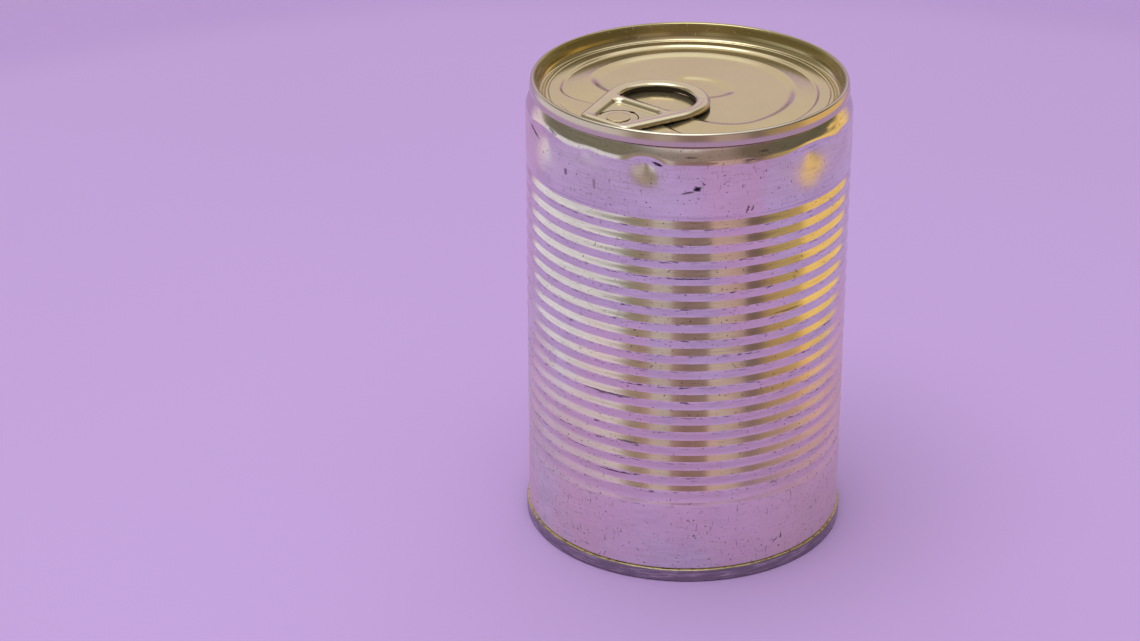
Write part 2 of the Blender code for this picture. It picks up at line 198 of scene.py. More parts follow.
class PullSizes(bpy.types.PropertyGroup):
    azimuth: angle("Azimuth", -131.9, "Direction of the nose from the can's axis, from +X")
    under: length("Underside", PULL_BOX[0][2] / MM - 0.2, "Height of the pull's underside")
    top: length("Top", PULL_BOX[1][2] / MM, "Height of the pull's upper face")
    ring_centre: length("Ring centre", 11.5, "Distance of the ring's centre from the can's axis")
    ring_radius: length("Ring radius", 12.0, "Outer radius of the ring")
    hole_radius: length("Hole radius", 8.7, "Radius of the ring's hole")
    hole_chord: length("Hole chord", 3.8, "Distance of the hole's straight side from its centre")
    hole_corner: length("Hole corner", 2.0, "Rounding of the hole's two corners")
    nose_centre: length("Nose centre", 28.1, "Distance of the nose corners' centres from the axis")
    nose_half: length("Nose half width", 4.9, "Distance of those centres from the middle line")
    nose_radius: length("Nose rounding", 2.2, "Radius of the nose's corners")
    edge: length("Edge rounding", 0.95, "Rounding of the outline's rolled upper edge")
    hole_edge: length("Hole rounding", 1.0, "Rounding of the hole's rolled upper edge")
    under_edge: length("Lower rounding", 0.3, "Rounding of the lower edges")
    brim: length("Brim", 0.07, "Height of the raised brim just inside the rolled edges")
    fray: length("Fray", 0.22, "How far the curled lower edge rises and falls")
    seam_turn: angle("Seam turn", 128.9, "Where the ring's cross seam and notch lie, from the nose")
    sag: length("Sag", 0.4, "How much lower the curl hangs at the ring's far side")
    notch: length("Notch", 0.55, "Depth of the notch at the end of the cross seam")
    pocket_back: length("Pocket back", 16.8, "Where the pocket round the rivet starts")
    pocket_fore: length("Pocket front", 28.8, "Where the pocket ends at the nose")
    pocket_wide: length("Pocket back width", 6.9, "Half width of the pocket towards the ring")
    pocket_narrow: length("Pocket front width", 4.5, "Half width of the pocket at the nose")
    pocket_corner: length("Pocket corner", 1.9, "Rounding of the pocket's corners")
    pocket_slope: length("Pocket slope", 0.7, "Width of the pocket's sloping walls")
    pocket_brow: length("Pocket brow", 0.6, "Height over which the walls' upper edge is rounded")
    pocket_foot: length("Pocket foot", 0.4, "Height over which the walls' lower edge is rounded")
    pocket_floor: length("Pocket floor", 0.42, "Thickness of the pocket's floor")
    rivet_centre: length("Rivet centre", 24.5, "Distance of the rivet from the can's axis")
    rivet_radius: length("Rivet radius", 2.7, "Radius of the rivet's head")
    rivet_rise: length("Rivet rise", 0.16, "Height of the rivet's head above the pocket's floor")
    shank_radius: length("Shank radius", 1.6, "Radius of the rivet below its head")
    slit_radius: length("Slit radius", 4.4, "Radius of the curved slit behind the rivet")
    slit_half: length("Slit half width", 0.15, "Half the width of the slit")
    slit_gap: length("Slit gap", 0.3, "How much wider the slit is at its middle")
    slit_angle: angle("Slit half angle", 112.0, "Half the angle over which the slit runs")


class FootSizes(bpy.types.PropertyGroup):
    radius: length("Radius", FOOT_BOX[1][0] / MM, "Outer radius of the foot seam")
    top: length("Top", FOOT_BOX[1][2] / MM, "Height of the closed plug inside the body")
    seam_height: length("Seam height", 3.1, "Height of the seam's upper edge")
    upper_edge: length("Upper edge", 0.32, "Rounding of the seam's upper edge")
    lower_edge: length("Lower edge", 0.55, "Rounding of the seam's lower edge")
    seat: length("Seat", 36.6, "Inner radius of the flat ring that the can stands on")
    plug: length("Plug", 36.5, "Radius of the plug inside the body wall")
    sink_radius: length("Countersink", 34.75, "Radius of the countersink's middle")
    sink_round: length("Countersink rounding", 0.65, "Radius of the countersink's round top")
    sink_height: length("Countersink height", 3.3, "Height at which that rounding starts")
    panel_height: length("Panel height", 3.1, "Height of the end's outer panel")
    step_radius: length("Step", 28.9, "Radius at which the inner panel starts to rise")
    step_width: length("Step width", 1.0, "Width of that rise")
    step_rise: length("Step rise", 0.45, "Height of that rise")


class Colours(bpy.types.PropertyGroup):
    seam: colour("Seam lacquer", (0.64, 0.58, 0.49), "Paler lacquer on the top seam")
    # Painted shade: the steep wall inside the seam is given this darker lacquer colour.
    chuck: colour("Chuck wall", (0.43, 0.38, 0.19), "Lacquer of the steep wall inside the seam, darkened as painted shade")
    tin: colour("Tin", (0.80, 0.78, 0.76), "Clean tinplate")
    tin_dull: colour("Dull tin", (0.60, 0.57, 0.56), "Handled, slightly stained tinplate")
    tin_warm: colour("Warm tin", (0.86, 0.66, 0.64), "Faint warm stains on the tinplate")
    # Painted shade: this darker colour stands for the shade on the foot seam where it meets the floor.
    foot: colour("Foot tin", (0.27, 0.24, 0.27), "Tinplate of the foot seam, darkened as painted shade near the floor")
    rub: colour("Rub", (0.030, 0.022, 0.045), "Dirt in scratches and rubs")
    lid: colour("Lid lacquer", (0.75, 0.64, 0.41), "Gold lacquer of the lid")
    lid_deep: colour("Deep lacquer", (0.67, 0.57, 0.33), "Lacquer where it lies thicker")
    pull: colour("Pull lacquer", (0.84, 0.74, 0.54), "Paler lacquer of the ring pull")
    pull_deep: colour("Lower pull", (0.66, 0.58, 0.38), "Darker lacquer colour for the pull's lower surfaces")
    # Painted shade: near-black colour put inside and under the pull's curled edge.
    curl: colour("Curled edge", (0.05, 0.045, 0.035), "Painted shade inside and under the pull's curled edge")
    compound: colour("Compound", (0.74, 0.60, 0.22), "Sealing compound at the foot seam's edge")
    rust: colour("Stain", (0.16, 0.07, 0.02), "Brown stain in the compound")


class StudioSettings(bpy.types.PropertyGroup):
    camera: FloatVectorProperty(
        name="Camera", description="Place of the camera", size=3, subtype="TRANSLATION",
        unit="LENGTH", default=(-0.02714, -0.5899, 0.3332))
    pitch: angle("Pitch", -25.73, "Angle of the camera's view above the horizon")
    roll: angle("Roll", -0.166, "Turn of the camera round its own axis")
    lens: number("Lens", 87.97, "Focal length for a film 36 mm wide")
    floor: colour("Floor", (0.68, 0.47, 0.97), "Plain pale floor")
    floor_radius: length("Floor radius", 480.0, "Radius at which the floor has faded out")
    floor_fade: length("Floor fade", 130.0, "Width over which the floor fades into its backdrop")
    backdrop: colour("Backdrop", (0.465, 0.315, 0.59), "Pale surroundings near the horizon")
    ceiling: colour("Ceiling", (0.95, 0.95, 0.93), "Light from above")
    far_wall: colour("Far wall", (0.69, 0.62, 0.56), "Light from behind the can, above the backdrop")
    key_power: number("Key power", 3.4, "Power of the soft key light, in watts")
    key_size: length("Key size", 850.0, "Diameter of the soft key light")
    key_place: FloatVectorProperty(
        name="Key place", description="Place of the soft key light", size=3,
        subtype="TRANSLATION", unit="LENGTH", default=(-0.18, -0.16, 1.15))


GROUPS = {
    "can_body": BodySizes, "can_lid": LidSizes, "can_pull": PullSizes,
    "can_foot": FootSizes, "can_colours": Colours, "can_studio": StudioSettings,
}


def millimetres(sizes):
    """A property group's values under the same names, its lengths in millimetres"""
    values = {}
    for made in sizes.bl_rna.properties:
        if made.identifier not in ("rna_type", "name"):
            value = getattr(sizes, made.identifier)
            values[made.identifier] = value / MM if made.unit == "LENGTH" else value
    return SimpleNamespace(**values)


# Surfaces

def smooth_step(value):
    """3 v^2 - 2 v^3, with v held between 0 and 1"""
    held = np.clip(value, 0.0, 1.0)
    return held * held * (3.0 - 2.0 * held)


def smooth_max(a, b, width):
    """The larger of two values, rounded where they differ by less than the width"""
    near = np.maximum(width - np.abs(a - b), 0.0) / width
    return np.maximum(a, b) + near * near * width / 4.0


def arc_rows(centre, radius, start, end, steps):
    """Rows of (radius, height) on an arc between two angles in degrees, both included"""
    turn = np.radians(np.linspace(start, end, steps))
    return np.column_stack([centre[0] + radius * np.cos(turn), centre[1] + radius * np.sin(turn)])


def line_rows(start, end, steps):
    """Rows of (radius, height) on a straight line, without its end"""
    share = np.linspace(0.0, 1.0, steps, endpoint=False)[:, None]
    return np.array(start) * (1.0 - share) + np.array(end) * share


def grid_faces(rows, columns, closed):
    """Quads between neighbouring rows; columns always run on to the first one again"""
    low = np.arange(rows if closed else rows - 1)
    high = (low + 1) % rows
    here = np.arange(columns)
    after = (here + 1) % columns
    corners = [low[:, None] * columns + here, low[:, None] * columns + after,
               high[:, None] * columns + after, high[:, None] * columns + here]
    return np.stack(corners, axis=-1).reshape(-1, 4)


def signed_volume(points, quads):
    """Sum of the tetrahedra between the origin and the two triangles of each quad"""
    a, b, c, d = (points[quads[:, i]] for i in range(4))
    six = np.einsum("ij,ij->i", a, np.cross(b, c)) + np.einsum("ij,ij->i", a, np.cross(c, d))
    return six.sum() / 6.0


def grid_object(name, rings, ends, sharp=38.0):
    """
    A closed mesh object from rings of points, given as (rings, points in a ring, 3).
    ends is "loop" where the last ring meets the first, "poles" where one point on the
    axis closes each end, or "flat" where a face closes each end.
    """
    count_rings, columns = rings.shape[:2]
    points = rings.reshape(-1, 3)
    quads = grid_faces(count_rings, columns, ends == "loop")
    inside_out = signed_volume(points, quads) < 0.0
    faces = quads.tolist()
    last = (count_rings - 1) * columns
    if ends == "poles":
        poles = np.array([[0.0, 0.0, rings[0, 0, 2]], [0.0, 0.0, rings[-1, 0, 2]]])
        here = np.arange(columns)
        after = (here + 1) % columns
        first_pole = np.full(columns, len(points))
        faces += np.stack([first_pole, after, here], axis=-1).tolist()
        faces += np.stack([first_pole + 1, last + here, last + after], axis=-1).tolist()
        points = np.vstack([points, poles])
    elif ends == "flat":
        faces += [list(range(columns))[::-1], list(range(last, last + columns))]
    if inside_out:
        faces = [face[::-1] for face in faces]
    mesh = bpy.data.meshes.new(name)
    mesh.from_pydata((points * MM).tolist(), [], faces)
    mesh.update()
    mesh.shade_smooth()
    mesh.set_sharp_from_angle(angle=math.radians(sharp))
    made = bpy.data.objects.new(name, mesh)
    bpy.context.scene.collection.objects.link(made)
    return made


def turned_rings(profile, turn):
    """A profile of (radius, height) carried round the axis: x = r sin a, y = -r cos a"""
    radius = profile[:, 0:1]
    height = np.broadcast_to(profile[:, 1:2], (len(profile), len(turn)))
    return np.stack([radius * np.sin(turn), -radius * np.cos(turn), height], axis=-1)


def seat_piece(piece, node, material):
    """Give a piece its finish, let it ride with the can and stand for its CAD node"""
    piece.data.materials.clear()
    piece.data.materials.append(material)
    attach(piece, "root")
    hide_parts(node)


# Body

def front_dense_turn():
    """Angles round the can, twice as close together on the front as at the back"""
    even = np.linspace(-1.0, 1.0, 292, endpoint=False)
    return np.pi * (even - 0.36 * np.sin(np.pi * even) / np.pi)


def ridge_wave(z, s):
    """
    Depth of the ridges as a share: half of 1 - asin(k cos p) / asin(k), where p is the
    phase and k the flatness, so that flanks are nearly straight and crests are round.
    """
    phase = 2.0 * np.pi * (z - s.first_ridge) / s.pitch
    wave = np.arcsin(s.flatness * np.cos(phase)) / np.arcsin(s.flatness)
    groove = 0.5 - 0.5 * wave
    first_groove = s.first_ridge + s.pitch / 2.0
    last_crest = s.first_ridge - (s.ridges - 1) * s.pitch
    run_in = 1.0 - smooth_step((z - first_groove) / s.run_in)
    groove = np.where(z > first_groove, run_in, groove)
    low_crest = 1.0 - (1.0 - groove) * s.last_height
    groove = np.where(z < last_crest + s.pitch / 2.0, low_crest, groove)
    last_groove = last_crest - s.pitch / 2.0
    crest_groove = 1.0 - s.last_height
    fall = crest_groove + (s.last_share - crest_groove) * smooth_step(2.0 * (last_crest - z) / s.pitch)
    run_out = s.last_share * (1.0 - smooth_step((last_groove - z) / s.run_out))
    groove = np.where(z < last_crest, fall, groove)
    return np.where(z < last_groove, run_out, groove)


def dent_depth(turn, z):
    """
    Sum of cones with round tips and rims: depth times 1 - sqrt(da^2 + dz^2 + tip), where
    da and dz are in half angles and in the reach above or below the deepest place.
    """
    degrees = np.degrees(turn)
    depth = np.zeros(np.broadcast(degrees, z).shape)
    for azimuth, height, half_angle, up, down, deepest in DENTS:
        across = (degrees - azimuth) / half_angle
        along = (z - height) / np.where(z > height, up, down)
        share = 1.0 - np.sqrt(across * across + along * along + DENT_TIP)
        depth += deepest * smooth_max(share, 0.0, DENT_RIM)
    return depth


def band_waves(turn, z, s):
    """Uneven skin of the plain bands: a few crossed sine waves, gone over the ridges"""
    low_band = s.first_ridge - s.ridges * s.pitch - 1.0
    plain = smooth_step((z - s.first_ridge - 3.0) / 3.0) + smooth_step((low_band - z) / 3.0)
    waves = np.sin(7.0 * turn + 0.35 * z) + 0.8 * np.sin(13.0 * turn - 0.55 * z + 1.3)
    waves = waves + 0.7 * np.sin(23.0 * turn + 0.9 * z + 4.0)
    return s.waviness * plain * waves


def body_rings(s):
    """
    The wall as radius over (height, angle): a neck that leans in by 1 - cos of its share
    of the height, a dented plain band, ridges, a plain band; closed inside the two seams.
    """
    first_groove = s.first_ridge + s.pitch / 2.0
    ridge_foot = s.first_ridge - s.ridges * s.pitch
    per_ridge = 13
    heights = np.concatenate([
        np.linspace(s.top, s.shoulder - 1.0, 26, endpoint=False),
        np.linspace(s.shoulder - 1.0, first_groove + s.run_in, 34, endpoint=False),
        np.linspace(first_groove + s.run_in, first_groove, 7, endpoint=False),
        np.linspace(first_groove, ridge_foot, int((s.ridges + 0.5) * per_ridge), endpoint=False),
        np.linspace(ridge_foot, s.foot, 22)])
    turn = front_dense_turn()
    z = heights[:, None]
    up_neck = np.clip((z - s.shoulder) / (s.top - s.shoulder), 0.0, 1.0)
    lean = 1.0 - np.cos(0.5 * np.pi * up_neck)
    radius = s.radius - (s.radius - s.neck_radius) * lean - s.depth * ridge_wave(z, s)
    free = smooth_step((s.top - z) / 1.5)
    radius = radius - free * (dent_depth(turn, z) + band_waves(turn, z, s) + 2.5 * s.waviness)
    radius = np.minimum(radius, s.radius)
    wall = np.stack([radius * np.sin(turn), -radius * np.cos(turn),
                     np.broadcast_to(z, radius.shape)], axis=-1)
    inner = s.neck_radius - s.wall
    head = turned_rings(np.array([[inner, s.lid_seat], [inner, s.top]]), turn)
    foot_inner = s.radius - s.wall
    tail = turned_rings(np.array([[foot_inner, s.foot], [foot_inner, s.end_seat]]), turn)
    return np.concatenate([head, wall, tail])


# Lid

def pull_frame(x, y, azimuth):
    """Distance along the pull's direction from the can's axis, and across it to the right"""
    along = x * math.cos(azimuth) + y * math.sin(azimuth)
    across = -x * math.sin(azimuth) + y * math.cos(azimuth)
    return along, across


def well_share(along, across, s):
    """
    Share of the finger well's depth: a disc round the axis, narrowed by two sides that
    lean together towards the nose, and ended by a round join under the ring's far side.
    """
    reach = np.hypot(along, across) - s.well_radius
    sides = np.abs(across) - (s.well_waist - s.well_lean * along)
    inside = smooth_max(reach, sides, s.well_corner)
    inside = smooth_max(inside, along - s.well_fore, s.well_join)
    return smooth_step(-inside / s.well_slope)


def bead_share(radius, along, across, s):
    """
    Share of the depth of the short grooves beside the nose: a ramp outwards that ends in
    a steep step, times a window in the angle from the pull's direction.
    """
    ramp = np.clip((radius - s.bead_start) / s.bead_ramp, 0.0, 1.0)
    ramp = ramp * (1.0 - smooth_step((radius - s.bead_end) / 0.5))
    bearing = np.degrees(np.arctan2(np.abs(across), along))
    begun = smooth_step((bearing - math.degrees(s.bead_near)) / 2.0)
    ended = smooth_step((bearing - math.degrees(s.bead_far)) / 2.4)
    return ramp * begun * (1.0 - ended)


def lid_height(x, y, s, pull):
    """
    Height of the lid inside its countersink. The outer step and the middle panel are
    rings that straight sides cut off near the pull, with rounded joins; between the
    two, the surface ramps from the flat down to the outer step.
    """
    radius = np.hypot(x, y)
    along, across = pull_frame(x, y, pull.azimuth)
    outer_side = along - (s.outer_cut + s.outer_lean * np.abs(across))
    outer = smooth_max(radius - s.outer_edge, outer_side, s.outer_join)
    inner = smooth_max(radius - s.inner_edge, along - s.inner_cut, s.inner_join)
    ramp = np.clip(inner / np.maximum(inner - outer, 1e-6), 0.0, 1.0)
    step = smooth_step(-outer / s.outer_slope)
    height = s.flat - np.where(inner > 0.0, s.groove_drop * ramp * step, 0.0)
    height = height - s.panel_drop * smooth_step(-inner / s.inner_slope)
    height = height - s.well_depth * well_share(along, across, s)
    height = height - s.bead_depth * bead_share(radius, along, across, s)
    return height - s.score_depth * np.exp(-((radius - s.score_radius) / s.score_width) ** 2)


def lid_rings(s, pull):
    """
    Relief inside the countersink as height over (radius, angle), then the turned
    countersink, chuck wall, crown, outer face of the seam and underside.
    """
    turn = np.linspace(0.0, 2.0 * np.pi, 384, endpoint=False)
    near_score = s.score_radius + np.linspace(-0.2, 0.2, 9)
    radii = np.concatenate([
        np.linspace(0.3, 21.0, 66, endpoint=False), np.linspace(21.0, 25.0, 22, endpoint=False),
        np.linspace(25.0, 28.4, 16, endpoint=False), np.linspace(28.4, 30.6, 24, endpoint=False),
        np.linspace(30.6, near_score[0], 7, endpoint=False), near_score,
        np.linspace(near_score[-1], s.panel_edge, 4)[1:]])
    x = radii[:, None] * np.sin(turn)
    y = -radii[:, None] * np.cos(turn)
    relief = np.stack([x, y, lid_height(x, y, s, pull)], axis=-1)
    crown_mid = s.seam_radius - s.seam_lean - s.crown_radius
    seam_low = s.top - s.seam_height
    crown_low = s.top - s.crown_radius
    wall_knee = (s.wall_radius, s.flat + 1.2)
    curl = np.linspace(1.0, 0.0, 9)
    face_radius = s.seam_radius - s.seam_lean * curl * curl
    face_height = crown_low - 0.06 - s.seam_curl * (1.0 - curl)
    profile = np.vstack([
        arc_rows((s.panel_edge + 0.15, s.flat - 0.45), 0.45, 70.0, 20.0, 5),
        arc_rows((s.sink_radius, s.flat + 0.05), s.sink_round, 210.0, 330.0, 12),
        line_rows((s.wall_radius - 0.28, s.flat + 0.3), wall_knee, 5),
        line_rows(wall_knee, (crown_mid - s.crown_radius * 0.93, crown_low), 8),
        arc_rows((crown_mid, crown_low), s.crown_radius, 172.0, 8.0, 18),
        np.column_stack([face_radius, face_height]),
        arc_rows((s.seam_radius - 0.4, seam_low + 0.45), 0.4, 0.0, -80.0, 8),
        [[s.seam_radius - 0.6, seam_low], [s.plug, seam_low], [s.plug, s.under]]])
    return np.concatenate([relief, turned_rings(profile, turn)])


# Ring pull

def convex_support(turn, discs):
    """Reach of a hull of discs (along, across, radius) in each direction"""
    reach = [c * np.cos(turn) + a * np.sin(turn) + r for c, a, r in discs]
    return np.max(reach, axis=0)


def cut_disc_support(turn, centre, radius, chord, corner):
    """Reach of a disc with one straight side and two rounded corners"""
    small = radius - corner
    edge = chord - corner
    corner_turn = math.acos(edge / small)
    off = np.abs((turn + np.pi) % (2.0 * np.pi) - np.pi)
    straight = edge * np.cos(off) + small * math.sin(corner_turn) * np.sin(off)
    return centre * np.cos(turn) + np.where(off < corner_turn, straight, small) + corner


def convex_distance(along, across, turn, support):
    """Distance outside a convex outline: the largest of n.p - reach(n) over directions n"""
    far = np.full(along.shape, -1e9)
    for here, reach in zip(turn, support):
        far = np.maximum(far, along * math.cos(here) + across * math.sin(here) - reach)
    return far


def polar_reach(centre, rays, turn, support):
    """Distance from the centre to a convex outline along each ray"""
    facing = np.cos(rays[:, None] - turn[None, :])
    room = support - centre * np.cos(turn)
    reach = np.where(facing > 1e-3, room / np.maximum(facing, 1e-3), 1e9)
    return reach.min(axis=1)


def rolled(inside, radius):
    """How far a quarter-round edge has dropped at a distance inside its outline"""
    left = np.clip(radius - inside, 0.0, radius)
    return radius - np.sqrt(np.maximum(radius * radius - left * left, 0.0))


def pull_outlines(s):
    """Directions, and the reach of the outer outline, the hole and the pocket in each"""
    turn = np.linspace(-np.pi, np.pi, 480, endpoint=False)
    noses = [(s.nose_centre, side * s.nose_half, s.nose_radius) for side in (-1.0, 1.0)]
    outer = convex_support(turn, [(s.ring_centre, 0.0, s.ring_radius)] + noses)
    hole = cut_disc_support(turn, s.ring_centre, s.hole_radius, s.hole_chord, s.hole_corner)
    corner = s.pocket_corner
    corners = [(s.pocket_back + corner, side * (s.pocket_wide - corner), corner)
               for side in (-1.0, 1.0)]
    corners += [(s.pocket_fore - corner, side * (s.pocket_narrow - corner), corner)
                for side in (-1.0, 1.0)]
    return turn, outer, hole, convex_support(turn, corners)


def pull_top(along, across, s, outlines):
    """
    Height of the upper face: flat with a low brim along its outline, rolled down at the
    outline and the hole, with the pocket taken away: straight walls with rounded edges.
    """
    turn, outer, hole, pocket = outlines
    from_outer = -convex_distance(along, across, turn, outer)
    from_hole = convex_distance(along, across, turn, hole)
    in_pocket = -convex_distance(along, across, turn, pocket)
    deep = s.top - s.under - s.pocket_floor
    height = s.top - s.brim - rolled(from_outer, s.edge) - rolled(from_hole, s.hole_edge)
    brim = np.exp(-((from_outer - s.edge - 0.15) / 0.45) ** 2)
    fall = smooth_max(in_pocket * deep / s.pocket_slope, 0.0, s.pocket_brow)
    fall = -smooth_max(-fall, -deep, s.pocket_foot)
    return height + s.brim * brim - fall


def pull_rings(s):
    """
    Rings of points across the pull's band, from the hole's outline to the outer one
    over the top and back underneath, on rays from the ring's centre. The curled lower
    edge is frayed by crossed sine waves along the outline, and sags at the far side.
    """
    outlines = pull_outlines(s)
    turn, outer, hole, _ = outlines
    even = np.linspace(0.0, 2.0 * np.pi, 420, endpoint=False)
    rays = even - 0.55 * np.sin(even)
    start = polar_reach(s.ring_centre, rays, turn, hole)
    end = polar_reach(s.ring_centre, rays, turn, outer)
    end = end - s.notch * np.exp(-((rays - s.seam_turn) / 0.022) ** 2)
    share = np.linspace(0.0, 1.0, 150)
    share = share - 0.11 * np.sin(2.0 * np.pi * share)
    span = start + (end - start) * share[:, None]
    along = s.ring_centre + span * np.cos(rays)
    across = span * np.sin(rays)
    top = np.stack([along, across, pull_top(along, across, s, outlines)], axis=-1)
    back = np.concatenate([np.linspace(1.0, 0.93, 8), np.linspace(0.88, 0.12, 6),
                           np.linspace(0.07, 0.0, 8)])
    span = start + (end - start) * back[:, None]
    along = s.ring_centre + span * np.cos(rays)
    across = span * np.sin(rays)
    from_outer = -convex_distance(along, across, turn, outer)
    from_hole = convex_distance(along, across, turn, hole)
    lift = rolled(from_outer, s.under_edge) + rolled(from_hole, s.under_edge)
    waves = np.sin(17.0 * rays) * np.sin(29.0 * rays + 1.0) + 0.5 * np.sin(71.0 * rays)
    near_edge = np.exp(-(np.minimum(np.abs(from_outer), np.abs(from_hole) + 0.2) / 0.7) ** 2)
    lift = lift + s.fray * near_edge * np.clip(waves, 0.0, 1.0)
    lift = lift - s.sag * smooth_step((s.ring_centre - 0.5 - along) / 4.0)
    under = np.stack([along, across, s.under + lift], axis=-1)
    return place_pull(np.concatenate([top, under]), s)


def place_pull(points, s):
    """Points given along and across the pull, turned to its direction on the can"""
    along, across, height = (points[..., i] for i in range(3))
    x = along * math.cos(s.azimuth) - across * math.sin(s.azimuth)
    y = along * math.sin(s.azimuth) + across * math.cos(s.azimuth)
    return np.stack([x, y, height], axis=-1)


def slit_rings(s):
    """A square bar along an arc behind the rivet, wider at its middle, to cut the slit"""
    bend = np.linspace(-s.slit_angle, s.slit_angle, 90)
    half = s.slit_half + s.slit_gap * np.exp(-(np.degrees(bend - 0.06) / 9.0) ** 4)
    corners = []
    for side, height in ((-1.0, -0.4), (1.0, -0.4), (1.0, 0.8), (-1.0, 0.8)):
        radius = s.slit_radius + side * half
        along = s.rivet_centre - radius * np.cos(bend)
        across = radius * np.sin(bend)
        corners.append(np.stack([along, across, np.full(len(bend), s.under + height)], axis=-1))
    return place_pull(np.stack(corners, axis=1), s)


def cut_away(piece, cutter):
    """Take the cutter's shape out of a piece, keep the result as its mesh, drop the cutter"""
    step = piece.modifiers.new("slit", "BOOLEAN")
    step.operation = "DIFFERENCE"
    step.solver = "EXACT"
    step.object = cutter
    shown = piece.evaluated_get(bpy.context.evaluated_depsgraph_get())
    made = bpy.data.meshes.new_from_object(shown)
    piece.modifiers.clear()
    old = piece.data
    piece.data = made
    bpy.data.meshes.remove(old)
    bpy.data.objects.remove(cutter, do_unlink=True)
    made.shade_smooth()
    made.set_sharp_from_angle(angle=math.radians(38.0))


def rivet_rings(s, lid):
    """Turned rivet: a flat head with a small round edge over a shank that enters the lid"""
    r = s.rivet_radius
    floor = s.under + s.pocket_floor
    top = floor + s.rivet_rise
    edge = 0.6 * s.rivet_rise
    profile = np.vstack([
        line_rows((0.15, top), (r - edge - 0.2, top), 12),
        arc_rows((r - edge, top - edge), edge, 80.0, 0.0, 7),
        [[r, floor + 0.03], [s.shank_radius, floor + 0.03], [s.shank_radius, lid.flat - 0.3]]])
    turn = np.linspace(0.0, 2.0 * np.pi, 72, endpoint=False)
    return turned_rings(profile, turn)


# Foot end

def foot_rings(s):
    """
    Turned foot end as a profile of lines and arcs: plug, seam with its round edges,
    chuck wall, countersink and stepped panel.
    """
    turn = np.linspace(-np.pi, np.pi, 320, endpoint=False)
    top, edge, low = s.seam_height, s.upper_edge, s.lower_edge
    outer_panel = s.panel_height
    inner_panel = s.panel_height + s.step_rise
    step_end = s.step_radius - s.step_width
    profile = np.vstack([
        [[s.plug, s.top], [s.plug, top]],
        line_rows((s.plug + 0.4, top), (s.radius - edge, top), 3),
        arc_rows((s.radius - edge, top - edge), edge, 90.0, 4.0, 12),
        line_rows((s.radius, top - edge - 0.1), (s.radius - 0.03, low + 0.1), 10),
        arc_rows((s.radius - low, low), low, -4.0, -90.0, 9),
        arc_rows((s.seat + 0.25, 0.3), 0.3, 270.0, 180.0, 6),
        line_rows((s.seat - 0.2, 0.8), (s.sink_radius + 0.75, s.sink_height), 10),
        arc_rows((s.sink_radius, s.sink_height), s.sink_round, 0.0, 180.0, 14),
        arc_rows((s.sink_radius - 1.15, outer_panel + 0.15), 0.2, 0.0, -90.0, 4),
        line_rows((s.sink_radius - 1.55, outer_panel), (s.step_radius, outer_panel), 8),
        line_rows((s.step_radius, outer_panel), (step_end, inner_panel), 4),
        line_rows((step_end, inner_panel), (0.3, inner_panel), 30)])
    return turned_rings(profile, turn)


# Node trees

class Wire:
    """An output socket; sums and products on it add Math nodes"""

    def __init__(self, nodes, socket):
        self.nodes = nodes
        self.socket = socket

    def __add__(self, other):
        return self.nodes.calc("ADD", self, other)

    def __radd__(self, other):
        return self.nodes.calc("ADD", other, self)

    def __sub__(self, other):
        return self.nodes.calc("SUBTRACT", self, other)

    def __rsub__(self, other):
        return self.nodes.calc("SUBTRACT", other, self)

    def __mul__(self, other):
        return self.nodes.calc("MULTIPLY", self, other)

    def __rmul__(self, other):
        return self.nodes.calc("MULTIPLY", other, self)

    def __truediv__(self, other):
        return self.nodes.calc("DIVIDE", self, other)

    def __pow__(self, other):
        return self.nodes.calc("POWER", self, other)


class Nodes:
    """A node tree that is filled by expressions on its sockets"""

    def __init__(self, tree):
        self.tree = tree

    def add(self, kind, settings=None, values=None, output=0):
        """A node with its settings, then its sockets' values or links; gives one output"""
        node = self.tree.nodes.new(kind)
        for name, value in (settings or {}).items():
            if name == "stops":
                self.set_stops(node.color_ramp, value)
            else:
                setattr(node, name, value)
        for name, value in (values or {}).items():
            self.feed(node.inputs[name], value)
        return Wire(self, node.outputs[output])

    def set_stops(self, ramp, stops):
        """Stops of (position, colour), in order"""
        while len(ramp.elements) < len(stops):
            ramp.elements.new(1.0)
        for element, (position, value) in zip(ramp.elements, stops):
            element.position = position
            element.color = (*value, 1.0)

    def feed(self, socket, value):
        """Link a socket to another node's output, or set its number or colour"""
        if isinstance(value, Wire):
            self.tree.links.new(value.socket, socket)
        elif hasattr(socket.default_value, "__len__") and hasattr(value, "__len__"):
            size = len(socket.default_value)
            socket.default_value = (*value, 1.0)[:size]
        else:
            socket.default_value = value

    def calc(self, operation, a, b=0.0, c=0.0):
        """A Math node on up to three numbers"""
        return self.add("ShaderNodeMath", {"operation": operation}, {0: a, 1: b, 2: c})

    def step(self, value, start, end):
        """0 before the start, 1 past the end, smooth between them"""
        return self.add(
            "ShaderNodeMapRange", {"interpolation_type": "SMOOTHSTEP", "clamp": True},
            {0: value, 1: start, 2: end, 3: 0.0, 4: 1.0})

    def blend(self, share, a, b):
        """A colour between a and b"""
        return self.add("ShaderNodeMix", {"data_type": "RGBA", "clamp_factor": True},
                        {0: share, 6: a, 7: b}, 2)

    def split(self, vector):
        """The three parts of a vector"""
        node = self.tree.nodes.new("ShaderNodeSeparateXYZ")
        self.feed(node.inputs[0], vector)
        return [Wire(self, node.outputs[i]) for i in range(3)]

    def stretch(self, vector, scale, shift=(0.0, 0.0, 0.0)):
        """A place with each axis scaled, then shifted"""
        return self.add("ShaderNodeVectorMath", {"operation": "MULTIPLY_ADD"},
                        {0: vector, 1: scale, 2: shift})

    def noise(self, vector, scale=1.0, detail=2.0, roughness=0.5):
        return self.add("ShaderNodeTexNoise", {"noise_dimensions": "3D"},
                        {"Vector": vector, "Scale": scale, "Detail": detail,
                         "Roughness": roughness})


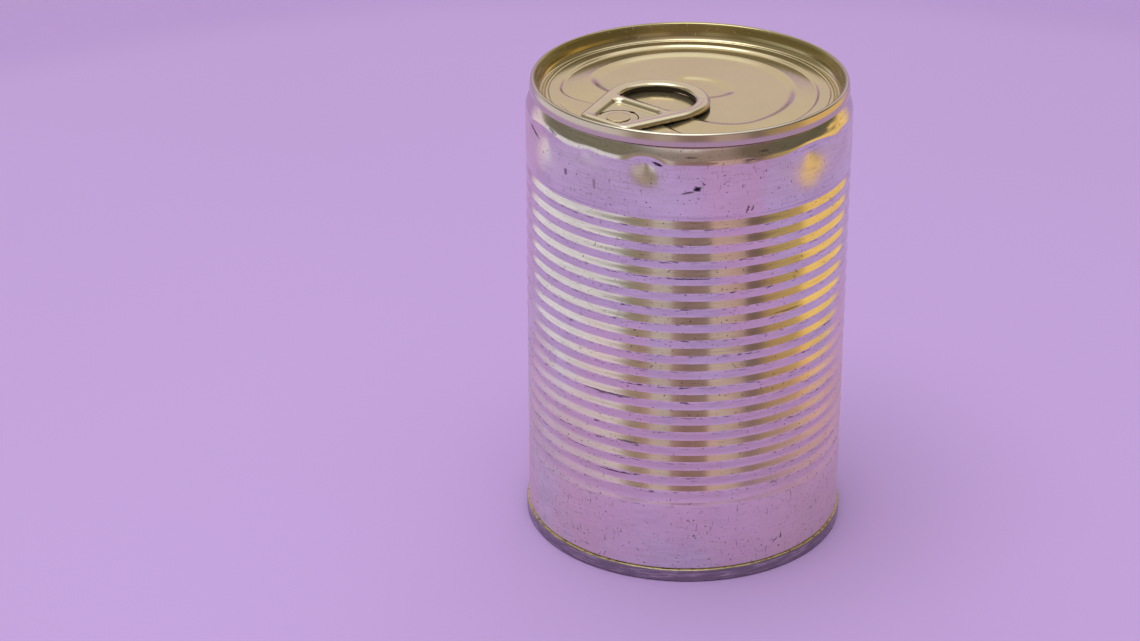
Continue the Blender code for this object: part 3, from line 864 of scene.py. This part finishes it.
class Finish(Nodes):
    """A material with one Principled shader, read in millimetres on the can"""

    def __init__(self, name):
        self.material = bpy.data.materials.new(name)
        self.material.use_nodes = True
        super().__init__(self.material.node_tree)
        self.shader = self.tree.nodes["Principled BSDF"]
        spot = self.add("ShaderNodeTexCoord", output=3)
        self.place = self.stretch(spot, (1.0 / MM,) * 3)
        self.x, self.y, self.z = self.split(self.place)

    def azimuth(self):
        """Degrees round the can from the front, positive to the right"""
        return self.calc("ARCTAN2", self.x, 0.0 - self.y) * math.degrees(1.0)

    def radius(self):
        """Distance from the can's axis"""
        return self.calc("SQRT", self.x * self.x + self.y * self.y)

    def set(self, **values):
        """Set or link the shader's sockets by their names, with _ for a space"""
        for name, value in values.items():
            self.feed(self.shader.inputs[name.replace("_", " ")], value)

    def bump(self, height, depth, strength=1.0):
        """Raise the surface by a height of 0 to 1 times a depth in millimetres"""
        normal = self.add("ShaderNodeBump", None,
                          {"Height": height, "Distance": depth * MM, "Strength": strength})
        self.set(Normal=normal)


def rub_mask(finish):
    """Ragged marks at the named places: ellipses in angle and height, frayed by noise"""
    azimuth = finish.azimuth()
    fray = finish.noise(finish.stretch(finish.place, (1.1, 1.1, 3.5)), 1.0, 3.0, 0.7)
    total = None
    for centre, height, half_angle, half_height, rise, strength in RUBS:
        across = azimuth - centre
        along = finish.z - height - across * rise
        far = (across / half_angle) ** 2.0 + (along / half_height) ** 2.0
        mark = finish.step(far + fray * 2.6, 2.3, 1.5) * strength
        total = mark if total is None else finish.calc("MAXIMUM", total, mark)
    return total


def tinplate(colours, body):
    """Rolled tinplate: fine level grain, stains, rubbed crests and scratches"""
    finish = Finish("tinplate")
    place = finish.place
    grain = finish.noise(finish.stretch(place, (0.16, 0.16, 2.6)), 1.0, 4.0, 0.65)
    clouds = finish.noise(finish.stretch(place, (0.06, 0.06, 0.11)), 1.0, 3.0, 0.6)
    patches = finish.step(clouds, 0.42, 0.62)
    dash = finish.noise(finish.stretch(place, (0.5, 0.5, 3.6), (9.0, 4.0, 2.0)), 1.0, 3.0, 0.62)
    hair = finish.noise(finish.stretch(place, (2.6, 2.6, 0.42), (3.0, 7.0, 1.0)), 1.0, 2.0, 0.55)
    spots = finish.noise(place, 1.5, 2.0, 0.6)
    phase = (finish.z - body.first_ridge) * (2.0 * math.pi / body.pitch)
    ridge_foot = body.first_ridge - body.ridges * body.pitch
    on_ridges = finish.step(finish.z, body.first_ridge + 2.5, body.first_ridge + 1.0)
    on_ridges = on_ridges * finish.step(finish.z, ridge_foot - 0.88, ridge_foot + 0.62)
    crest = finish.step(finish.calc("COSINE", phase + 0.25), 0.80, 0.97) * on_ridges
    wear = finish.step(finish.noise(place, 0.16, 2.0), 0.42, 0.60)
    crest_rub = crest * finish.step(dash, 0.53, 0.60) * (0.35 + 0.65 * wear)
    dashes = finish.step(dash, 0.64, 0.685) * (0.25 + 0.75 * patches)
    band = 1.0 - on_ridges
    hairs = finish.step(hair, 0.65, 0.70) * band * (0.35 + 0.65 * patches)
    pits = finish.step(spots, 0.675, 0.705)
    rubs = rub_mask(finish)
    dirt = finish.calc("MAXIMUM", finish.calc("MAXIMUM", crest_rub * 0.85, dashes * 0.6),
                       finish.calc("MAXIMUM", hairs * 0.55, pits * 0.8))
    dirt = finish.calc("MAXIMUM", dirt, rubs)
    aside = finish.step(finish.calc("ABSOLUTE", finish.azimuth() + 4.0), 8.0, 46.0)
    band_haze = finish.step(finish.z, 91.0, 95.0) * finish.step(finish.z, 104.6, 103.2) * 0.42
    smeared = finish.calc("MAXIMUM", aside * finish.step(finish.z, 72.0, 26.0),
                          band_haze * (0.4 + 0.6 * aside))
    dull = finish.step(grain * 0.55 + clouds * 0.45, 0.38, 0.66)
    metal = finish.blend(dull * 0.75, colours.tin, colours.tin_dull)
    warm = finish.noise(finish.stretch(place, (0.05, 0.05, 0.02), (5.0, 1.0, 3.0)))
    metal = finish.blend(finish.step(warm, 0.42, 0.60) * 0.55, metal, colours.tin_warm)
    finish.set(Base_Color=finish.blend(dirt, metal, colours.rub), Metallic=1.0,
               Roughness=0.05 + grain * 0.09 + clouds * 0.05 + dirt * 0.25 + smeared * 0.3)
    finish.bump(grain - dirt * 0.4, 0.012, 0.5)
    return finish.material


def lid_lacquer(colours, lid):
    """
    Gold lacquer over tinplate: satin, with faint rolling lines and a few dust spots; darker on
    the steep wall as painted shade, with dust spots there too, and paler on the seam.
    """
    finish = Finish("gold_lacquer")
    place = finish.place
    peel = finish.noise(place, 1.3, 3.0, 0.6)
    lines = finish.noise(finish.stretch(place, (3.0, 0.35, 1.0)), 1.0, 3.0, 0.6)
    clouds = finish.noise(place, 0.09, 2.0)
    spots = finish.step(finish.noise(place, 1.9, 1.0), 0.77, 0.80)
    tone = finish.step(clouds * 0.6 + lines * 0.4, 0.36, 0.66)
    lacquer = finish.blend(tone * 0.4, colours.lid, colours.lid_deep)
    radius = finish.radius()
    on_wall = finish.step(radius, lid.wall_radius - 0.43, lid.wall_radius - 0.23)
    dust = finish.step(finish.noise(place, 1.2, 2.0), 0.66, 0.70) * on_wall
    on_seam = finish.step(radius, lid.seam_radius - 0.9, lid.seam_radius - 0.7)
    # Painted shade: the steep wall takes the darker chuck colour; the dust spots on it are real.
    lacquer = finish.blend(on_wall, lacquer, colours.chuck)
    lacquer = finish.blend(on_seam, lacquer, colours.seam)
    spots = finish.calc("MAXIMUM", spots, dust * (1.0 - on_seam))
    finish.set(Base_Color=finish.blend(spots * 0.45, lacquer, colours.tin), Metallic=0.9,
               Roughness=0.13 + lines * 0.07 + spots * 0.1 + on_seam * 0.05)
    finish.set(Coat_Weight=0.15, Coat_Roughness=0.1)
    finish.bump(peel * 0.6 + lines * 0.4, 0.004, 0.3)
    return finish.material


def pull_lacquer(colours, pull):
    """
    Paler lacquer on the drawn pull, darker in colour the lower it lies, down into its
    pocket, with painted shade inside and under its curled edge, and the cross seam of the
    ring as a fine groove.
    """
    finish = Finish("pull_lacquer")
    peel = finish.noise(finish.place, 1.8, 3.0, 0.6)
    clouds = finish.noise(finish.place, 0.25, 2.0)
    # The lower the surface lies, the further its colour goes towards pull_deep: darker towards the
    # bottom.
    low = finish.step(finish.z, pull.top - 0.25, pull.under + 0.1)
    nicks = finish.step(finish.noise(finish.place, 2.4, 1.0), 0.79, 0.81)
    tone = finish.calc("MULTIPLY_ADD", clouds, 0.5, low * 0.35)
    lacquer = finish.blend(tone, colours.pull, colours.pull_deep)
    # Painted shade: the curled edge's inside and underside are made near black, up to a ragged line
    # that lies higher on the hole's side.
    ragged_shade_edge = finish.noise(finish.stretch(finish.place, (0.9, 0.9, 0.3)), 1.0, 3.0, 0.6)
    x = finish.x - pull.ring_centre * math.cos(pull.azimuth)
    y = finish.y - pull.ring_centre * math.sin(pull.azimuth)
    hole, chord = pull.hole_radius, pull.hole_chord
    along = x * math.cos(pull.azimuth) + y * math.sin(pull.azimuth)
    by_hole = finish.step(finish.calc("SQRT", x * x + y * y), hole + 1.5, hole + 0.7)
    by_hole = by_hole * finish.step(along, chord + 0.7, chord + 0.4)
    curl_edge = finish.z + ragged_shade_edge * 0.25 - by_hole * 0.4
    painted_curl_shade = finish.step(curl_edge, pull.under + 0.44, pull.under + 0.38)
    lacquer = finish.blend(painted_curl_shade, lacquer, colours.curl)
    turn = pull.azimuth + pull.seam_turn
    out = x * math.cos(turn) + y * math.sin(turn)
    aside = y * math.cos(turn) - x * math.sin(turn)
    seam = finish.step(finish.calc("ABSOLUTE", aside), 0.16, 0.04)
    seam = seam * finish.step(out, hole - 0.1, hole + 0.3)
    finish.set(Base_Color=finish.blend(nicks * 0.8, lacquer, colours.rub), Metallic=0.92,
               Roughness=0.15 + clouds * 0.08 + painted_curl_shade * 0.4)
    finish.set(Coat_Weight=0.15, Coat_Roughness=0.1)
    finish.bump(peel * 0.04 - seam, 0.14, 1.0)
    return finish.material


def foot_tin(colours, foot):
    """Tinplate of the foot seam, with yellow compound and stain along its upper edge"""
    finish = Finish("foot_tinplate")
    place = finish.place
    radius = finish.radius()
    grain = finish.noise(finish.stretch(place, (0.2, 0.2, 2.6)), 1.0, 3.0, 0.6)
    blots = finish.noise(finish.stretch(place, (0.7, 0.7, 1.6)), 1.0, 3.0, 0.7)
    edge = finish.step(finish.z, foot.seam_height - 0.35, foot.seam_height - 0.1)
    inner = finish.step(radius + blots * 0.3, foot.radius + 0.07, foot.radius - 0.07)
    compound = edge * inner
    stain = compound * finish.step(blots, 0.5, 0.62)
    patches = finish.step(finish.noise(place, 0.22, 2.0), 0.56, 0.64)
    dash = finish.noise(finish.stretch(place, (0.8, 0.8, 3.4), (2.0, 5.0, 1.0)), 1.0, 3.0, 0.62)
    dirt = finish.step(dash, 0.68, 0.73) * 0.55
    # Painted shade: most of the foot seam is blended to the darker foot colour.
    metal = finish.blend(finish.step(grain, 0.25, 0.55), colours.tin_dull, colours.foot)
    metal = finish.blend(dirt, metal, colours.rub)
    metal = finish.blend(compound * 0.9, metal, colours.compound)
    finish.set(Base_Color=finish.blend(stain * 0.8, metal, colours.rust),
               Metallic=1.0 - compound * 0.8,
               Roughness=0.27 + grain * 0.12 + compound * 0.15 - patches * 0.12)
    finish.bump(grain * 0.4 + blots * 0.6, 0.012, 0.4)
    return finish.material


# Studio

# What stands round the can near eye level: angle from the camera's side, colour
ROOM = (
    (-180.0, (0.58, 0.45, 0.75)), (-158.0, (0.60, 0.48, 0.76)), (-140.0, (0.88, 0.82, 0.88)),
    (-50.0, (0.80, 0.75, 0.74)), (-41.0, (0.36, 0.29, 0.21)), (-32.5, (0.33, 0.26, 0.18)),
    (-31.0, (0.42, 0.29, 0.23)), (-27.0, (0.42, 0.31, 0.26)), (-25.0, (0.56, 0.47, 0.42)),
    (-12.5, (0.54, 0.44, 0.40)), (-11.0, (0.36, 0.24, 0.21)), (-5.0, (0.32, 0.21, 0.19)),
    (-3.0, (0.27, 0.17, 0.15)), (13.0, (0.30, 0.20, 0.17)), (14.5, (0.60, 0.43, 0.37)),
    (26.0, (0.55, 0.42, 0.36)), (38.0, (0.46, 0.33, 0.28)), (40.0, (0.20, 0.14, 0.14)),
    (48.0, (0.21, 0.15, 0.12)), (56.0, (0.46, 0.32, 0.14)), (80.0, (0.58, 0.38, 0.13)),
    (87.0, (1.00, 0.64, 0.18)), (146.0, (1.00, 0.66, 0.24)), (160.0, (0.60, 0.48, 0.70)),
    (180.0, (0.58, 0.45, 0.75)),
)

# The same above eye level
UPPER_ROOM = (
    (-180.0, (0.64, 0.62, 0.60)), (-140.0, (0.40, 0.38, 0.33)), (-118.0, (0.21, 0.19, 0.14)),
    (-50.0, (0.22, 0.19, 0.13)), (-28.0, (0.31, 0.26, 0.22)), (26.0, (0.32, 0.25, 0.21)),
    (42.0, (0.16, 0.13, 0.09)), (128.0, (0.15, 0.13, 0.07)), (148.0, (0.60, 0.58, 0.54)),
    (180.0, (0.64, 0.62, 0.60)),
)


def room_colours(nodes, bearing, room):
    """Colour of one level of panels at a bearing in degrees"""
    stops = [((turn + 180.0) / 360.0, value) for turn, value in room]
    return nodes.add("ShaderNodeValToRGB", {"stops": stops}, {0: (bearing + 180.0) / 360.0})


def studio_world(s):
    """
    Soft light that depends on direction alone: two levels of panels round the camera's
    side, a pale backdrop and a far wall behind the can, and a ceiling above.
    """
    world = bpy.data.worlds.new("studio")
    bpy.context.scene.world = world
    world.use_nodes = True
    nodes = Nodes(world.node_tree)
    east, north, up = nodes.split(nodes.add("ShaderNodeTexCoord", output=0))
    bearing = nodes.calc("ARCTAN2", east, 0.0 - north) * math.degrees(1.0)
    height = nodes.calc("ARCSINE", up) * math.degrees(1.0)
    aside = nodes.step(nodes.calc("ABSOLUTE", bearing), 30.0, 46.0)
    skyline = 13.0 - 6.0 * aside
    panels = nodes.blend(nodes.step(height - skyline, 0.0, 7.0),
                         room_colours(nodes, bearing, ROOM),
                         room_colours(nodes, bearing, UPPER_ROOM))
    behind = nodes.step(nodes.calc("ABSOLUTE", bearing), 128.0, 146.0)
    far = nodes.blend(nodes.step(height, 13.0, 22.0), s.backdrop, s.far_wall)
    sides = nodes.blend(behind, panels, far)
    sides = nodes.blend(nodes.step(height, 42.0, 58.0), sides, s.ceiling)
    seen = nodes.add("ShaderNodeLightPath", output=0)
    shown = nodes.blend(seen, sides, s.backdrop)
    ground = world.node_tree.nodes["Background"]
    nodes.feed(ground.inputs["Color"], shown)


def add_key_light(s):
    """A large soft lamp high above the can, a little to the left, aimed at its lid"""
    lamp = bpy.data.lights.new("key", "AREA")
    lamp.shape = "DISK"
    lamp.size = s.key_size
    lamp.energy = s.key_power
    lamp.color = (1.0, 0.98, 0.95)
    key = bpy.data.objects.new("key", lamp)
    bpy.context.scene.collection.objects.link(key)
    place = Vector(s.key_place)
    aim = Vector((0.0, 0.0, 0.09)) - place
    key.matrix_world = Matrix.Translation(place) @ aim.to_track_quat("-Z", "Y").to_matrix().to_4x4()


def add_camera(s):
    """The camera at the photograph's viewing angle"""
    shot = bpy.data.cameras.new("camera")
    shot.sensor_width = 36.0
    shot.lens = s.lens
    shot.clip_start = 0.01
    camera = bpy.data.objects.new("camera", shot)
    bpy.context.scene.collection.objects.link(camera)
    turn = Matrix.Rotation(math.pi / 2.0 + s.pitch, 4, "X") @ Matrix.Rotation(s.roll, 4, "Z")
    camera.matrix_world = Matrix.Translation(Vector(s.camera)) @ turn
    bpy.context.scene.camera = camera


def add_floor(s):
    """A plain round floor round the can's axis, which fades into the plain backdrop"""
    radii = np.linspace(0.001, s.floor_radius, 8) / MM
    turn = np.linspace(0.0, 2.0 * np.pi, 96, endpoint=False)
    top = turned_rings(np.column_stack([radii, np.zeros(len(radii))]), turn)
    low = turned_rings(np.column_stack([radii[::-1], np.full(len(radii), -4.0)]), turn)
    floor = grid_object("studio_floor", np.concatenate([top, low]), "poles")
    finish = Finish("floor")
    soft = finish.noise(finish.place, 0.01, 2.0)
    pale = tuple(0.97 * value for value in s.floor)
    finish.set(Base_Color=finish.blend(soft, s.floor, pale), Roughness=0.85)
    fade_start = (s.floor_radius - s.floor_fade) / MM
    finish.set(Alpha=finish.step(finish.radius(), s.floor_radius / MM - 2.0, fade_start))
    floor.data.materials.append(finish.material)


# Operators

class OBJECT_OT_can_body(bpy.types.Operator):
    """Build the ridged, dented body of the can"""
    bl_idname = "object.food_can_body"
    bl_label = "Can body"

    def execute(self, context):
        sizes = millimetres(context.scene.can_body)
        piece = grid_object("ridged_body", body_rings(sizes), "poles")
        material = tinplate(context.scene.can_colours, sizes)
        seat_piece(piece, "can_body", material)
        return {"FINISHED"}


class OBJECT_OT_can_lid(bpy.types.Operator):
    """Build the lid with its seam, and the rivet that holds the ring pull"""
    bl_idname = "object.food_can_lid"
    bl_label = "Lid and rivet"

    def execute(self, context):
        sizes = millimetres(context.scene.can_lid)
        pull = millimetres(context.scene.can_pull)
        lid = grid_object("lid_panel", lid_rings(sizes, pull), "poles")
        material = lid_lacquer(context.scene.can_colours, sizes)
        seat_piece(lid, "top_end", material)
        rivet = grid_object("lid_rivet", rivet_rings(pull, sizes), "poles")
        shift = (pull.rivet_centre * MM * math.cos(pull.azimuth),
                 pull.rivet_centre * MM * math.sin(pull.azimuth), 0.0)
        rivet.data.transform(Matrix.Translation(shift))
        seat_piece(rivet, "top_end", material)
        return {"FINISHED"}


class OBJECT_OT_ring_pull(bpy.types.Operator):
    """Build the ring pull with its pocket and the curved slit round the rivet"""
    bl_idname = "object.food_can_pull"
    bl_label = "Ring pull"

    def execute(self, context):
        sizes = millimetres(context.scene.can_pull)
        piece = grid_object("ring_pull", pull_rings(sizes), "loop")
        cut_away(piece, grid_object("slit_cutter", slit_rings(sizes), "flat"))
        material = pull_lacquer(context.scene.can_colours, sizes)
        seat_piece(piece, "pull_tab", material)
        return {"FINISHED"}


class OBJECT_OT_can_foot(bpy.types.Operator):
    """Build the foot end with its seam"""
    bl_idname = "object.food_can_foot"
    bl_label = "Foot end"

    def execute(self, context):
        sizes = millimetres(context.scene.can_foot)
        piece = grid_object("foot_end", foot_rings(sizes), "poles")
        material = foot_tin(context.scene.can_colours, sizes)
        seat_piece(piece, "bottom_end", material)
        return {"FINISHED"}


class SCENE_OT_can_studio(bpy.types.Operator):
    """Set up the floor, the soft light and the camera"""
    bl_idname = "scene.food_can_studio"
    bl_label = "Studio"

    def execute(self, context):
        settings = context.scene.can_studio
        context.scene.view_settings.view_transform = "Standard"
        add_floor(settings)
        studio_world(settings)
        add_key_light(settings)
        add_camera(settings)
        return {"FINISHED"}


class VIEW3D_PT_food_can(bpy.types.Panel):
    """Sizes, colours and build steps of the can"""
    bl_idname = "VIEW3D_PT_food_can"
    bl_label = "Food can"
    bl_space_type = "VIEW_3D"
    bl_region_type = "UI"
    bl_category = "Food can"

    def draw(self, context):
        for operator in OPERATORS:
            self.layout.operator(operator.bl_idname)
        for name, group in GROUPS.items():
            box = self.layout.box()
            box.label(text=name.replace("_", " ").capitalize())
            settings = getattr(context.scene, name)
            for key in group.__annotations__:
                box.prop(settings, key)


OPERATORS = (
    OBJECT_OT_can_body, OBJECT_OT_can_lid, OBJECT_OT_ring_pull, OBJECT_OT_can_foot,
    SCENE_OT_can_studio,
)


def register():
    for made in (*GROUPS.values(), *OPERATORS, VIEW3D_PT_food_can):
        bpy.utils.register_class(made)
    for name, group in GROUPS.items():
        setattr(bpy.types.Scene, name, PointerProperty(type=group))


def unregister():
    for name in GROUPS:
        delattr(bpy.types.Scene, name)
    for made in (VIEW3D_PT_food_can, *reversed(OPERATORS), *reversed(GROUPS.values())):
        bpy.utils.unregister_class(made)


def main():
    register()
    bpy.ops.scene.food_can_studio()
    bpy.ops.object.food_can_body()
    bpy.ops.object.food_can_lid()
    bpy.ops.object.food_can_pull()
    bpy.ops.object.food_can_foot()


if __name__ == "__main__":
    main()
